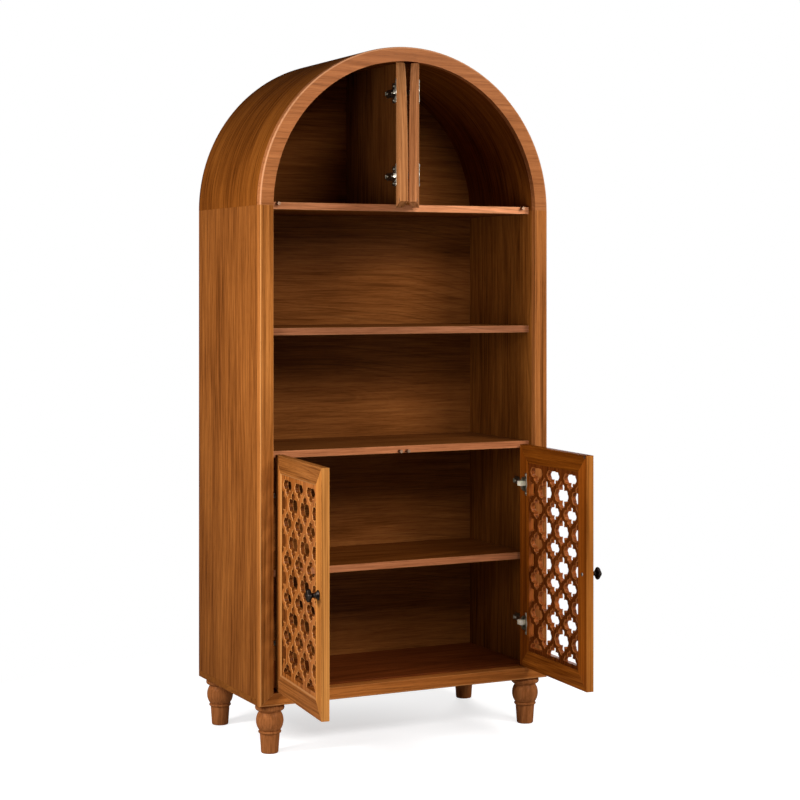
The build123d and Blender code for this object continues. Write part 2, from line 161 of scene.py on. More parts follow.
class StageSettings(bpy.types.PropertyGroup):
    """Camera, lamps and floor."""

    camera_place: bpy.props.FloatVectorProperty(
        name="Camera", description="Where the camera stands", subtype="TRANSLATION",
        size=3, unit="LENGTH", default=(-2.1191, -4.2712, 1.1332))
    camera_turn: amount("Turn", "Camera's turn about the vertical", math.radians(-26.42),
                        subtype="ANGLE")
    lens: amount("Lens", "Focal length in millimetres", 85.63)
    shift: amount("Shift", "Vertical lens shift", -0.1441)
    front_power: amount("Front lamp", "Power of the high lamp in front, in watts", 62.5)
    right_power: amount("Right lamp", "Power of the lamp in front at the right, in watts", 63.8)
    left_power: amount("Left lamp", "Power of the small lamp at the left, in watts", 9.2)
    side_power: amount("Side lamp", "Power of the lamp beside the cabinet, in watts", 26.0)
    back_power: amount("Back lamp", "Power of the lamp behind the cabinet, in watts", 60.0)
    room_light: amount("Room", "Strength of the light from all round", 0.10)


def settings(name):
    return getattr(bpy.context.scene, name)


# ------------------------------------------------------------------ modelling helpers
def stop_editing():
    bpy.ops.object.mode_set(mode="OBJECT")


def nothing_selected():
    """Leaves edit mode and deselects every object."""
    if bpy.context.object and bpy.context.object.mode != "OBJECT":
        stop_editing()
    bpy.ops.object.select_all(action="DESELECT")


def added(name, add, **values):
    """Adds one new object under this name, with nothing else selected."""
    nothing_selected()
    add(**values)
    bpy.context.object.name = name
    return bpy.context.object


def choose(*objects):
    """Selects these objects, with the first one active."""
    nothing_selected()
    for obj in objects:
        obj.select_set(True)
    bpy.context.view_layer.objects.active = objects[0]


def pick(obj, kind, test):
    """Selects the vertices or the faces that pass the test, and enters edit mode on them."""
    choose(obj)
    bpy.ops.object.mode_set(mode="EDIT")
    bpy.ops.mesh.select_mode(type=kind)
    bpy.ops.mesh.select_all(action="DESELECT")
    stop_editing()
    for part in obj.data.polygons if kind == "FACE" else obj.data.vertices:
        part.select = bool(test(part))
    bpy.ops.object.mode_set(mode="EDIT")


def pick_all(obj):
    """Selects the whole mesh, in edit mode."""
    choose(obj)
    bpy.ops.object.mode_set(mode="EDIT")
    bpy.ops.mesh.select_all(action="SELECT")


def apply_place(obj):
    """Puts the object's place, turn and scale into its mesh."""
    choose(obj)
    bpy.ops.object.transform_apply(location=True, rotation=True, scale=True)
    return obj


def placed(obj, place, turn=(0, 0, 0), scale=(1, 1, 1)):
    """Moves, turns and scales a piece that was drawn at the origin."""
    obj.location, obj.rotation_euler, obj.scale = place, turn, scale
    return apply_place(obj)


def faces_outwards(obj):
    pick_all(obj)
    bpy.ops.mesh.remove_doubles(threshold=WELD)
    bpy.ops.mesh.normals_make_consistent(inside=False)
    stop_editing()
    return obj


def with_modifier(obj, kind, **values):
    """Adds one modifier, sets it and applies it."""
    choose(obj)
    bpy.ops.object.modifier_add(type=kind)
    modifier = obj.modifiers[-1]
    for name, value in values.items():
        setattr(modifier, name, value)
    bpy.ops.object.modifier_apply(modifier=modifier.name)
    return obj


def cut_with(obj, cutter, operation="DIFFERENCE"):
    with_modifier(obj, "BOOLEAN", operation=operation, solver="EXACT", object=cutter)
    bpy.data.objects.remove(cutter)
    return obj


def joined(objects):
    choose(*objects)
    if len(objects) > 1:
        bpy.ops.object.join()
    return bpy.context.view_layer.objects.active


def copy_of(obj, name):
    """A copy with its own mesh."""
    choose(obj)
    bpy.ops.object.duplicate(linked=False)
    twin = bpy.context.view_layer.objects.active
    twin.name = name
    return twin


def smooth(obj, degrees=35):
    choose(obj)
    bpy.ops.object.shade_smooth_by_angle(angle=math.radians(degrees))
    return obj


def eased(obj, width, degrees=35):
    """Rounds every sharp arris a little, and keeps the flats flat."""
    with_modifier(obj, "BEVEL", width=width, segments=2, limit_method="ANGLE",
                  angle_limit=math.radians(degrees), use_clamp_overlap=True)
    choose(obj)
    bpy.ops.object.shade_smooth()
    return with_modifier(obj, "WEIGHTED_NORMAL", keep_sharp=False, weight=80)


def bar(name, low, high):
    """A square-edged bar between two corners."""
    low, high = Vector(low), Vector(high)
    obj = added(name, bpy.ops.mesh.primitive_cube_add, size=1, location=(low + high) / 2)
    obj.scale = high - low
    return apply_place(obj)


def move_edge(obj, start, end):
    """Moves the upright edge at one place of the plan to another."""
    pick(obj, "VERT", lambda vertex: (abs(vertex.co.x - start[0]) < SAME_PLACE
                                      and abs(vertex.co.y - start[1]) < SAME_PLACE))
    bpy.ops.transform.translate(value=(end[0] - start[0], end[1] - start[1], 0))
    stop_editing()


def band(name, stations, half):
    """A flat-sided band through pairs of (right, left) points of its plan."""
    (right, left), (next_right, next_left) = stations[:2]
    obj = bar(name, (-1, -1, -half), (1, 1, half))
    for corner, place in (((1, -1), right), ((-1, -1), left), ((1, 1), next_right),
                          ((-1, 1), next_left)):
        move_edge(obj, corner, place)
    for (right, left), (next_right, next_left) in zip(stations[1:], stations[2:]):
        ends = (Vector(right), Vector(left))
        pick(obj, "FACE", lambda face: all(min((obj.data.vertices[v].co.xy - end).length
                                               for end in ends) < SAME_PLACE
                                           for v in face.vertices))
        step = Vector(next_right) - Vector(right)
        bpy.ops.mesh.extrude_region_move(TRANSFORM_OT_translate={"value": (step.x, step.y, 0)})
        stop_editing()
        move_edge(obj, Vector(left) + step, next_left)
    return faces_outwards(obj)


def rod(name, radius, start, end, sides):
    """A round bar from one point to another, along y."""
    start, end = Vector(start), Vector(end)
    return apply_place(added(name, bpy.ops.mesh.primitive_cylinder_add, vertices=sides,
                             radius=radius, depth=(end - start).length,
                             location=(start + end) / 2, rotation=(math.pi / 2, 0, 0)))


def upright_rod(name, radius, length):
    """A round bar upright through the origin."""
    return added(name, bpy.ops.mesh.primitive_cylinder_add, vertices=24, radius=radius,
                 depth=length)


def arc_through(a, b, c, steps):
    """Points on the arc from a over b to c, without a itself."""
    (ax, ay), (bx, by), (cx, cy) = a, b, c
    d = 2 * (ax * (by - cy) + bx * (cy - ay) + cx * (ay - by))
    ux = ((ax * ax + ay * ay) * (by - cy) + (bx * bx + by * by) * (cy - ay)
          + (cx * cx + cy * cy) * (ay - by)) / d
    uy = ((ax * ax + ay * ay) * (cx - bx) + (bx * bx + by * by) * (ax - cx)
          + (cx * cx + cy * cy) * (bx - ax)) / d
    radius = math.hypot(ax - ux, ay - uy)
    start = math.atan2(ay - uy, ax - ux)
    middle = (math.atan2(by - uy, bx - ux) - start) % (2 * math.pi)
    sweep = (math.atan2(cy - uy, cx - ux) - start) % (2 * math.pi)
    if middle > sweep:
        sweep -= 2 * math.pi
    return [(ux + radius * math.cos(start + sweep * i / steps),
             uy + radius * math.sin(start + sweep * i / steps)) for i in range(1, steps + 1)]


def turned(name, profile, steps):
    """Turns a profile of (radius, height) points about the vertical through the origin."""
    obj = added(name, bpy.ops.mesh.primitive_plane_add, size=0.001, location=(0, 0, 0))
    bpy.ops.object.mode_set(mode="EDIT")
    bpy.ops.mesh.select_mode(type="VERT")
    bpy.ops.mesh.select_all(action="SELECT")
    bpy.ops.mesh.merge(type="CENTER")
    bpy.ops.transform.translate(value=(profile[0][0], 0, profile[0][1]))
    for (r0, z0), (r1, z1) in zip(profile, profile[1:]):
        bpy.ops.mesh.extrude_region_move(TRANSFORM_OT_translate={"value": (r1 - r0, 0, z1 - z0)})
    bpy.ops.mesh.select_all(action="SELECT")
    bpy.ops.mesh.spin(steps=steps, angle=2 * math.pi, center=(0, 0, 0), axis=(0, 0, 1))
    stop_editing()
    return faces_outwards(obj)


def laid_back(obj, x, y, z):
    """Lays a turned piece down so that its foot faces the front, and moves it."""
    return placed(obj, (x, y, z), (-math.pi / 2, 0, 0))


def at_pin(obj, door, opening):
    """Moves a piece drawn about the pin of a left-hand hinge to the hinges of this door."""
    x, y, _ = JOINTS[door + "_hinge"]["pos_m"]
    mirrored = door in MIRRORED_DOORS
    placed(obj, (x, y, 0), (0, 0, opening), (-1 if mirrored else 1, 1, 1))
    return faces_outwards(obj) if mirrored else obj


def hang(obj, door):
    """Moves a piece drawn for a closed door, with the hinge pin at the origin, to its door."""
    return at_pin(obj, door, -opened_by(door))


def set_on_side(obj, door):
    """Moves a piece of the hinge that stays on the cabinet to its door's pin."""
    return at_pin(obj, door, 0)


def finish_piece(obj, name, body, slot, material, *nodes):
    """Names a piece, dresses it and seats it in the frame, in the place of its nodes."""
    obj.name = name
    obj.data.name = name
    obj.data.materials.clear()
    obj.data.materials.append(material)
    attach(obj, body)
    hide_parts(*nodes)


def hinge_heights(door):
    low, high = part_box(door + "_hinge_pins")
    return (low.z + PIN_HALF, high.z - PIN_HALF)


# ------------------------------------------------------------------ finishes
# How often a pattern repeats in a metre, along and across the grain
STREAKS, FIBRES, PORES, CLOUDS = (4.5, 110.0), (9.0, 380.0), (40.0, 1100.0), (2.6, 13.0)
RINGS, VEINS = 88.0, 150.0  # In a metre from the heart of the log
FIBRE_SHARE = 0.28  # Share of the fibres in the tone of the wood
ARCH_RADIUS = 0.4  # Where the length of the bent grain is measured
RIM_REACH = 0.05  # How far in from the rim's outside its arrises are looked for


class Nodes:
    """Adds and feeds the nodes of one tree."""

    def __init__(self, tree):
        self.tree = tree

    def feed(self, node, inputs):
        """Links or sets inputs of a node, by their names or numbers."""
        for key, value in inputs.items():
            if isinstance(value, bpy.types.NodeSocket):
                self.tree.links.new(value, node.inputs[key])
            else:
                node.inputs[key].default_value = value
        return node

    def add(self, kind, inputs=(), **values):
        node = self.tree.nodes.new(kind)
        for name, value in values.items():
            setattr(node, name, value)
        return self.feed(node, dict(inputs))

    def sum(self, operation, *values):
        return self.add("ShaderNodeMath", enumerate(values), operation=operation).outputs[0]

    def seen_directly(self):
        """1 for what the camera sees, also in gloss or through glass."""
        path = self.add("ShaderNodeLightPath")
        seen = path.outputs["Is Camera Ray"]
        for ray in ("Is Glossy Ray", "Is Transmission Ray"):
            seen = self.sum("MAXIMUM", seen, path.outputs[ray])
        return seen

    def glow(self, kind, strength):
        """A white Emission or Background."""
        return self.add(kind, {"Color": (1, 1, 1, 1), "Strength": strength}).outputs[0]

    def blend(self, share, first, second):
        """Passes from the first surface to the second as the share goes from 0 to 1."""
        return self.add("ShaderNodeMixShader", {0: share, 1: first, 2: second}).outputs[0]


class Recipe(Nodes):
    """Lays out the nodes of one finish."""

    def __init__(self, name):
        self.material = bpy.data.materials.new(name)
        self.material.use_nodes = True
        super().__init__(self.material.node_tree)
        self.shader = self.tree.nodes["Principled BSDF"]
        texture = self.add("ShaderNodeTexCoord")
        self.where, self.facing = texture.outputs["Object"], texture.outputs["Normal"]

    def span(self, a, b):
        """The length of a line with these two sides."""
        return self.sum("SQRT", self.sum("ADD", self.sum("MULTIPLY", a, a),
                                         self.sum("MULTIPLY", b, b)))

    def parts(self, vector):
        return tuple(self.add("ShaderNodeSeparateXYZ", {0: vector}).outputs)

    def vector(self, *parts):
        return self.add("ShaderNodeCombineXYZ", enumerate(parts)).outputs[0]

    def mapped(self, vector, kind="POINT", **inputs):
        """The vector moved to a Location, turned by a Rotation and stretched by a Scale."""
        return self.add("ShaderNodeMapping", {"Vector": vector, **inputs},
                        vector_type=kind).outputs[0]

    def noise(self, vector, scale, detail, roughness, distortion=0.0):
        return self.add("ShaderNodeTexNoise", {
            "Vector": vector, "Scale": scale, "Detail": detail, "Roughness": roughness,
            "Distortion": distortion}).outputs["Fac"]

    def bands(self, place, detail, roughness):
        """Uneven light and dark bands, one to each unit of the place."""
        return self.add("ShaderNodeTexNoise", {
            "W": place, "Scale": 1.0, "Detail": detail, "Roughness": roughness},
            noise_dimensions="1D").outputs["Fac"]

    def spread(self, value, low, high, start=0.0, end=1.0, **values):
        """Runs from low to high while the value runs from start to end."""
        return self.add("ShaderNodeMapRange", {
            "Value": value, "From Min": start, "From Max": end, "To Min": low,
            "To Max": high}, **values).outputs["Result"]

    def ramp(self, value, *stops):
        node = self.add("ShaderNodeValToRGB", {"Fac": value})
        ramp = node.color_ramp
        while len(ramp.elements) < len(stops):
            ramp.elements.new(0.5)
        for element, (place, colour) in zip(ramp.elements, stops):
            element.position = place
            element.color = (*(colour if isinstance(colour, tuple) else (colour,) * 3), 1)
        return node.outputs["Color"]

    def mix(self, kind, amount, first, second):
        return self.add("ShaderNodeMix", {0: amount, 6: first, 7: second}, data_type="RGBA",
                        blend_type=kind).outputs[2]

    def bump(self, height, distance, strength, **under):
        return self.add("ShaderNodeBump", {"Height": height, "Distance": distance,
                                           "Strength": strength, **under}).outputs["Normal"]

    def surface(self, inputs):
        """The material, with these inputs of its shader."""
        self.feed(self.shader, inputs)
        return self.material


def from_arch(r):
    """How far a point lies across and up from the centre of the arch, and its radius."""
    x, _, z = r.parts(r.where)
    across = r.sum("SUBTRACT", x, CENTRE_X)
    up = r.sum("SUBTRACT", z, SPRINGLINE)
    return across, up, r.span(across, up)


def bent_grain(r, place):
    """Coordinates around the arch: x along the bend, z through the board."""
    across, up, radius = from_arch(r)
    around = r.sum("MULTIPLY", r.sum("ARCTAN2", across, up), ARCH_RADIUS)
    _, deep, _ = r.parts(r.where)
    return r.mapped(r.vector(around, deep, radius), Location=place)


def facing_front(r, turn):
    """1 where the surface lies in the board's face or back, 0 where it faces sideways."""
    _, through, _ = r.parts(r.mapped(r.facing, "VECTOR", Rotation=turn))
    return r.sum("ABSOLUTE", through)


def sideways(r, turn):
    """1 on the edges of a board and the walls sawn through it, 0 on its faces."""
    return r.ramp(facing_front(r, turn), (0.10, 1.0), (0.45, 0.0))


def wrapped_grain(r, grain, turn):
    """The grain on the edges of a board runs along them, whichever way they curve."""
    along, through, across = r.parts(grain)
    # On an edge the pattern's width is squeezed to almost nothing
    width = r.sum("SUBTRACT", 1.0, r.sum("MULTIPLY", sideways(r, turn), 0.97))
    return r.vector(along, through, r.sum("MULTIPLY", across, width))


def arris_highlight_and_wear_mask(r, turn, lean):
    """The front arrises, where the painted highlight goes, which partly also stands for rubbed
    wear: 1 where the surface has just turned away from the board's face.
    """
    return r.ramp(facing_front(r, turn), (lean, 0.0), (lean + 0.08, 1.0), (0.984, 1.0),
                  (0.998, 0.0))


def rim_highlight_and_wear_mask(r):
    """1 along the outer and the inner arris of the arched rim, by the distance from its centre:
    where the painted highlight goes, which partly also stands for rubbed wear.
    """
    _, _, radius = from_arch(r)
    low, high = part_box("arched_face_rim")
    inside = (high.x - low.x) / 2 - RIM_REACH
    edge = r.sum("DIVIDE", r.sum("SUBTRACT", radius, inside), RIM_REACH)
    return r.ramp(edge, (0.125, 0.9), (0.155, 0.0), (0.905, 0.0), (0.935, 1.0), (0.975, 1.0),
                  (0.995, 0.0))


def walnut(name, stain, figure, turn=(0, 0, 0), place=(0, 0, 0), bend=False, gloss=0.44,
           contrast=1.0, tilt=0.05, band=None, highlight_and_wear=0.85, lines=0.20, mottle=0.26,
           varnish=0.02, edges=None, lean=0.70, rim=False, paleness=(1.55, 2.05, 3.1),
           broken=1.0, banded=False):
    """Stained and lacquered walnut with rings, dark veins, streaks, fibres and pores.

    Figure is how far the rings wander, lines and mottle are the shares of the rings and of
    the clouds in the tone, and broken shortens the streaks. A band is the depth of a front
    edge that carries its own veneer, and its stain. Edges is the tone of what faces sideways:
    a board's edges, or the walls sawn through it; on the pierced boards and on the right lower
    door's lock stile it carries painted shade and painted highlight. A banded board has a strip
    of veneer bent around its edges. The arrises carry a painted highlight, which partly also
    stands for wear rubbed back to the paler wood: highlight_and_wear, paleness and lean are how
    strong, how pale and how wide it is."""
    r = Recipe(name)
    grain = bent_grain(r, place) if bend else r.mapped(r.where, Rotation=turn, Location=place)
    if banded:
        grain = wrapped_grain(r, grain, turn)

    def grained(repeats, detail, roughness, distortion=0.0, shorter=1.0):
        along, across = repeats
        scale = (along * shorter, across, across)
        return r.noise(r.mapped(grain, Scale=scale), 1.0, detail, roughness, distortion)

    def stained(stain):
        def shade(k, warm=0.0):
            red, green, blue = stain
            return (min(1, red * k), min(1, green * k * (1 + warm)),
                    min(1, blue * k * (1 + 2 * warm)))
        return r.ramp(tone, (0.12, shade(0.42, -0.14)), (0.38, shade(0.80, -0.05)),
                      (0.60, shade(1.08)), (0.88, shade(1.45, 0.07)))

    # The board is sawn at a slant to the log, and the rings wander along it
    wander = grained((1.5, 2.4), 2.0, 0.40)
    lift = r.sum("MULTIPLY", r.sum("SUBTRACT", wander, 0.5), 0.20 * figure)
    along, beside, behind = r.parts(grain)
    across = r.sum("ADD", beside, lift)
    slant = r.sum("ADD", behind, r.sum("MULTIPLY", along, tilt))
    ring = r.span(across, r.sum("ADD", slant, r.sum("MULTIPLY", lift, 0.8)))
    rings = r.bands(r.sum("MULTIPLY", ring, RINGS), 4.0, 0.60)
    veins = r.bands(r.sum("MULTIPLY", ring, VEINS), 2.0, 0.50)
    streaks = grained(STREAKS, 3.0, 0.62, shorter=broken)
    fibres = grained(FIBRES, 2.0, 0.6, shorter=broken)
    pores = grained(PORES, 1.0, 0.5)
    clouds = grained(CLOUDS, 3.0, 0.55, 0.3)
    tone = r.sum("MULTIPLY", rings, lines)
    for part, share in ((streaks, 1 - FIBRE_SHARE - lines - mottle), (fibres, FIBRE_SHARE),
                        (clouds, mottle)):
        tone = r.sum("ADD", tone, r.sum("MULTIPLY", part, share))
    tone = r.sum("ADD", r.sum("MULTIPLY", r.sum("SUBTRACT", tone, 0.5), 2.4 * contrast), 0.5)
    colour = stained(stain)
    if band:
        front, edge_stain = band
        _, depth, _ = r.parts(r.where)
        colour = r.mix("MIX", r.sum("LESS_THAN", depth, front), colour, stained(edge_stain))
    # Veins come and go with the clouds
    reach = r.ramp(clouds, (0.42, 0.0), (0.60, 0.5))
    colour = r.mix("MULTIPLY", reach, colour, r.ramp(veins, (0.34, 0.50), (0.44, 1.0)))
    colour = r.mix("MULTIPLY", 0.6, colour, r.ramp(pores, (0.30, 0.55), (0.43, 1.0)))
    # Sideways faces take their own tone; on the pierced boards and the right lower door's lock
    # stile this is painted shade and painted highlight
    if edges:
        colour = r.mix("MIX", sideways(r, turn), colour, stained(toned(stain, edges)))
    # Painted highlight along the arrises, partly also wear rubbed back to the paler wood
    arris = rim_highlight_and_wear_mask(r) if rim else arris_highlight_and_wear_mask(r, turn, lean)
    colour = r.mix("MIX", r.sum("MULTIPLY", arris, highlight_and_wear), colour, (*toned(stain, paleness), 1))
    pitted = r.bump(pores, 0.00035, 0.5)
    return r.surface({"Base Color": colour,
                      "Roughness": r.spread(fibres, gloss - 0.06, gloss + 0.10),
                      "Specular IOR Level": 0.0, "Coat Weight": varnish, "Coat Roughness": 0.20,
                      "Normal": r.bump(streaks, 0.0006, 0.35, Normal=pitted)})


def toned(colour, gains):
    """The colour, lighter or darker in its red, green and blue."""
    return tuple(min(1, part * gain) for part, gain in zip(colour, gains))


def upright(opened=0.0):
    """Grain up and down, on a piece that has been turned by this angle about the vertical."""
    return (math.pi / 2, math.pi / 2 - opened, math.pi / 2)


def level(opened=0.0):
    """Grain from side to side, on a piece turned by this angle about the vertical."""
    return (0, 0, opened)


def cut_from_log(turn, middle, shift, beside, behind):
    """Where a board lies in its log: how far along it, beside its heart and behind it."""
    return tuple(Vector((shift, beside, behind)) - Euler(turn).to_matrix() @ middle)


def opened_by(door):
    """The angle that turns an opened door's pieces back to the closed door."""
    opening = math.radians(-JOINTS[door + "_hinge"]["range_deg"][0])
    return -opening if door in MIRRORED_DOORS else opening


def metal(name, colour, roughness, paleness=0.25, scale=900.0):
    """Plated or cast metal with fine pitting and rubbed patches."""
    r = Recipe(name)
    grit = r.noise(r.where, scale, 3.0, 0.6)
    patches = r.noise(r.where, scale * 0.16, 3.0, 0.55)
    light = tuple(min(1, c * (1 + paleness)) for c in colour)
    dark = tuple(c * (1 - paleness) for c in colour)
    return r.surface({"Base Color": r.ramp(patches, (0.35, dark), (0.62, light)),
                      "Roughness": r.spread(grit, roughness - 0.08, roughness + 0.14),
                      "Metallic": 1.0, "Specular Tint": (0.45, 0.42, 0.38, 1),
                      "Normal": r.bump(grit, 0.00012, 0.4)})


def moulded_plastic(name, colour):
    """Satin moulded plastic with a faint orange-peel."""
    r = Recipe(name)
    peel = r.noise(r.where, 700.0, 2.0, 0.5)
    tint = r.noise(r.where, 90.0, 2.0, 0.5)
    darker = tuple(c * 0.93 for c in colour)
    return r.surface({"Base Color": r.ramp(tint, (0.35, darker), (0.65, colour)),
                      "Roughness": 0.42, "Subsurface Weight": 0.05,
                      "Normal": r.bump(peel, 0.00008, 0.4)})


def finish_named(name, make):
    """The finish of that name, made the first time that it is asked for."""
    return bpy.data.materials.get(name) or make(name)


def stain(name):
    return tuple(getattr(settings("cabinet_stains"), name))


def steel():
    return finish_named("nickel_plate", lambda n: metal(n, (0.40, 0.37, 0.30), 0.30))


def dark_steel():
    return finish_named("zinc_screws", lambda n: metal(n, (0.26, 0.25, 0.23), 0.34))


# ------------------------------------------------------------------ boards
# Stain, grain, width of the eased edge, and the boards that have them
BOARD_GROUPS = (
    ("side", "upright", 0.0004, ("left_side_panel", "right_side_panel")),
    ("side", "bent", 0.0004, ("arched_top",)),
    ("rim", "level", 0.0006, ("arched_face_rim",)),
    ("face", "upright", 0.0006, ("left_face_stile", "right_face_stile")),
    ("face", "level", 0.0006, ("bottom_face_rail",)),
    ("side", "level", 0.0006, ("base_board",)),
    ("inside", "level", 0.0004, ("floor_panel", "back_panel")),
    ("inside", "level", 0.0008, ("top_shelf", "middle_shelf", "cabinet_shelf", "inner_shelf")),
    ("inside", "upright", 0.0006, ("centre_divider",)),
    ("door", "upright", 0.0008, ("upper_left_panel", "upper_right_panel")),
    ("door", "level", 0.0014, ("lower_left_top_rail", "lower_left_bottom_rail",
                               "lower_right_top_rail", "lower_right_bottom_rail")),
    ("door", "upright", 0.0014, ("lower_left_hinge_stile", "lower_left_lock_stile",
                                 "lower_right_hinge_stile", "lower_right_lock_stile")),
)
BOARDS = {node: group[:3] for group in BOARD_GROUPS for node in group[3]}
SLOT_OF_STAIN = {"side": "side_wood", "face": "face_wood", "rim": "face_wood",
                 "inside": "inner_wood", "door": "door_wood"}
PLAIN = (1, 1, 1)
# Gains on the stain of single boards that are paler or darker than their neighbours. The low
# gains on the right lower door's frame are painted shade on the door's inner face, which lies in
# shadow, and the arched top's gain is partly its own darker veneer, partly painted shade on its
# upward curve.
TONES = {
    "lower_left_top_rail": (0.66, 0.70, 0.78),
    "lower_left_bottom_rail": (0.73, 0.75, 0.88),
    "lower_left_hinge_stile": (0.95, 1.0, 1.05),
    "lower_left_lock_stile": (1.24, 1.44, 1.50),
    # Painted shade: the right lower door's inner face lies in shadow
    "lower_right_top_rail": (0.42, 0.32, 0.135),
    "lower_right_bottom_rail": (0.74, 0.62, 0.34),
    "lower_right_hinge_stile": (0.58, 0.42, 0.17),
    "lower_right_lock_stile": (0.72, 0.54, 0.26),
    "left_face_stile": (0.92, 0.99, 1.02),
    "right_face_stile": (0.88, 0.94, 1.15),
    "upper_left_panel": (1.01, 1.24, 2.2),
    "upper_right_panel": (1.15, 1.37, 2.6),
    # Partly painted shade on the arch's upward curve
    "arched_top": (0.83, 0.74, 0.60),
    "left_side_panel": (1.0, 0.97, 1.05),
    "floor_panel": (0.72, 0.50, 0.45),
    "inner_shelf": (0.86, 0.76, 0.60),
}
# Tones of the edges, where they differ from the board's face
EDGE_TONES = {
    "top_shelf": (1.58, 1.78, 1.95),
    "middle_shelf": (0.68, 0.71, 0.78),
    "lower_left_lock_stile": (1.07, 1.14, 1.30),
    # The right lower door's lock stile: its edge is lifted back to a lit tone over its face, which
    # carries painted shade
    "lower_right_lock_stile": (1.27, 1.75, 3.2),
}


def board_finish(node, stain_name, grain):
    """The stained walnut of one board, with its own cut of the log."""
    number = sorted(BOARDS).index(node)
    low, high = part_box(node)
    middle = (low + high) / 2
    name = node + "_walnut"
    colour = toned(stain(stain_name), TONES.get(node, PLAIN))
    heart = 0.02 + 0.013 * (number % 5)
    shift = 0.37 * number
    if grain == "bent":
        return walnut(name, colour, 0.6, place=(0.4, -middle.y + 0.26, -0.35), bend=True,
                      tilt=0.02, lines=0.10, mottle=0.30, varnish=0.005, contrast=1.5)
    body = body_of_node(node)
    opened = 0.0 if body == "carcass" else opened_by(body.removesuffix("_door"))
    veneered = stain_name in ("side", "inside")
    # The painted arris highlight reaches further round on the lower doors
    lean = 0.45 if node.startswith(LOWER_DOORS) else 0.70
    if grain == "upright":
        # Sawn well beside the log's heart, so the grain runs straight
        turn = upright(opened)
        manner = (dict(lines=0.10, mottle=0.30, contrast=1.4, broken=1.0) if veneered else
                  dict(lines=0.20, mottle=0.20, contrast=1.6, broken=0.35))
        return walnut(name, colour, 0.6 if veneered else 0.16, turn=turn, tilt=0.02,
                      place=cut_from_log(turn, middle, shift, 0.24 + heart, heart),
                      edges=EDGE_TONES.get(node), lean=lean,
                      banded=node.startswith(UPPER_DOORS), **manner)
    turn = level(opened)
    band = None
    if node.endswith("_shelf"):
        band = (low.y + 0.0006, toned(stain("shelf_edge"), EDGE_TONES.get(node, PLAIN)))
    manner = (dict(lines=0.14, mottle=0.30, broken=1.0) if veneered else
              dict(lines=0.20, mottle=0.24, broken=0.5))
    return walnut(name, colour, 0.35 + 0.15 * (number % 3), turn=turn, band=band,
                  place=cut_from_log(turn, middle, shift, heart, heart),
                  contrast={"inside": 1.05, "rim": 0.75, "door": 1.4}.get(stain_name, 1.0),
                  lean=lean, rim=stain_name == "rim", **manner)


def body_of_node(node):
    for door in DOORS:
        if node.startswith(door):
            return door + "_door"
    return "carcass"


def softened_board(node, width):
    """The board of the frame with its arrises eased."""
    board = copy_of(NODES[node], node + "_board")
    bpy.ops.object.parent_clear(type="CLEAR_KEEP_TRANSFORM")
    apply_place(board)
    pick_all(board)
    bpy.ops.mesh.remove_doubles(threshold=SAME_PLACE)
    bpy.ops.mesh.dissolve_limited(angle_limit=math.radians(0.5))
    stop_editing()
    return eased(board, width)


class CABINET_OT_boards(bpy.types.Operator):
    """Eases and finishes the boards of the carcass and the doors"""

    bl_idname = "cabinet.boards"
    bl_label = "Boards"

    def execute(self, context):
        for node, (stain_name, grain, width) in BOARDS.items():
            board = softened_board(node, width)
            finish_piece(board, node + "_board", body_of_node(node), SLOT_OF_STAIN[stain_name],
                         board_finish(node, stain_name, grain), node)
        return {"FINISHED"}


# ------------------------------------------------------------------ pierced carving
# Lobes of one quarter of an opening: (x, z, radius) in metres
LARGE_LOBES = ((0.0295, 0, 0.0060), (0.0250, 0.0083, 0.0064), (0.0176, 0.0108, 0.0054),
               (0.0078, 0.0212, 0.0064), (0, 0.0290, 0.0054))
LARGE_MIDDLE = ((0.0254, 0.0117), (0.0117, 0.0243))
SMALL_LOBES = ((0.0270, 0, 0.0050), (0.0226, 0.0061, 0.0049), (0.0160, 0.0075, 0.0042),
               (0.0084, 0.0162, 0.0052), (0, 0.0225, 0.0042))
SMALL_MIDDLE = ((0.0226, 0.0084), (0.0112, 0.0184))
# Gains on the stain of the two pierced boards, for their faces, their walls and their arrises.
# The right board's darkened faces are painted shade on the door's inner face, which lies in
# shadow; the left board's darkened walls are painted shade in the openings; the right board's
# paler walls and the pale arrises of both are painted highlights and glints.
CARVING_TONES_AND_SHADE = {"lower_left": (0.95, 0.90, 0.82), "lower_right": (0.38, 0.25, 0.15)}
CARVING_WALL_SHADE_AND_HIGHLIGHT = {"lower_left": (0.50, 0.42, 0.32), "lower_right": (2.5, 2.9, 4.2)}
CARVING_ARRIS_HIGHLIGHTS = {"lower_left": (1.70, 2.15, 2.9), "lower_right": (3.6, 5.2, 9.5)}
EYE_SIDES = 112  # Corners in the outline of one eye


def eye_reach(lobes, middles, turn, grow):
    """How far the outline of an eye lies from its middle in one direction."""
    cos, sin = math.cos(turn), math.sin(turn)
    far = max(min((x + grow) / max(cos, 1e-6), (z + grow) / max(sin, 1e-6)) for x, z in middles)
    for x, z, radius in lobes:
        for side in (-1, 1):
            for place in ((x, z * side), (x * side, z)):
                along = place[0] * cos + place[1] * sin
                aside = place[0] * sin - place[1] * cos
                if abs(aside) < radius + grow and along > 0:
                    far = max(far, along + math.sqrt((radius + grow) ** 2 - aside ** 2))
    return far


